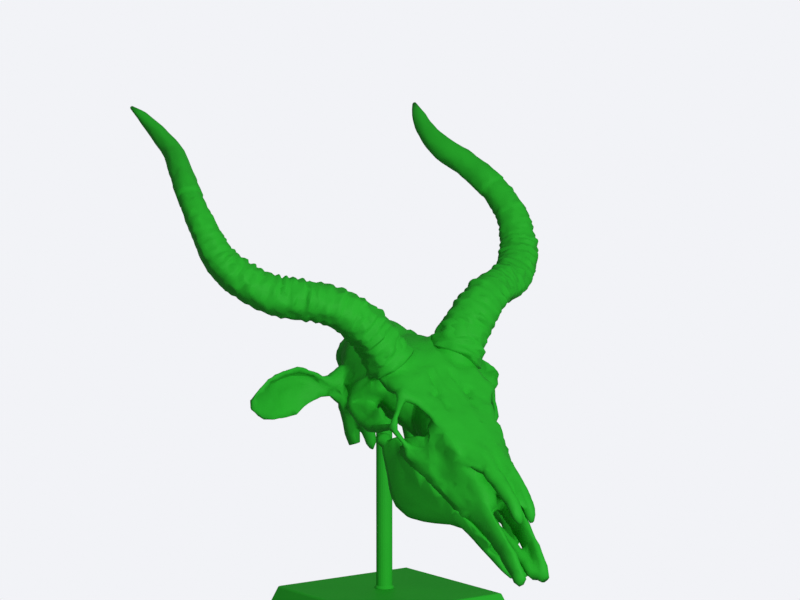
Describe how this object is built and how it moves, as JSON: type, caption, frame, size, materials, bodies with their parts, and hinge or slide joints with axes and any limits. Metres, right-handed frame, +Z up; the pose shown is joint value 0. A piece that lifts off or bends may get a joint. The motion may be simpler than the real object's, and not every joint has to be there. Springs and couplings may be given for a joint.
{
  "type": "antelope skull",
  "caption": "Antelope skull with long S-curved ringed horns, spread ears and a separate lower jaw, held nose down on a round post over a square base.",
  "frame": {"origin": "on the underside of the base, straight under the post's axis", "axes": "+Z up along the post, +X towards the snout, +Y towards the animal's left"},
  "size_m": [0.3663, 0.3462, 0.4257],
  "materials": {
    "skull": "matte green",
    "jaw": "matte green",
    "horn_left": "matte green",
    "horn_right": "matte green",
    "post": "matte green",
    "base": "matte green"
  },
  "bodies": {
    "root": {"skull": "skull", "jaw": "jaw", "horn_left": "horn_left", "horn_right": "horn_right", "post": "post", "base": "base"}
  },
  "joints": []
}
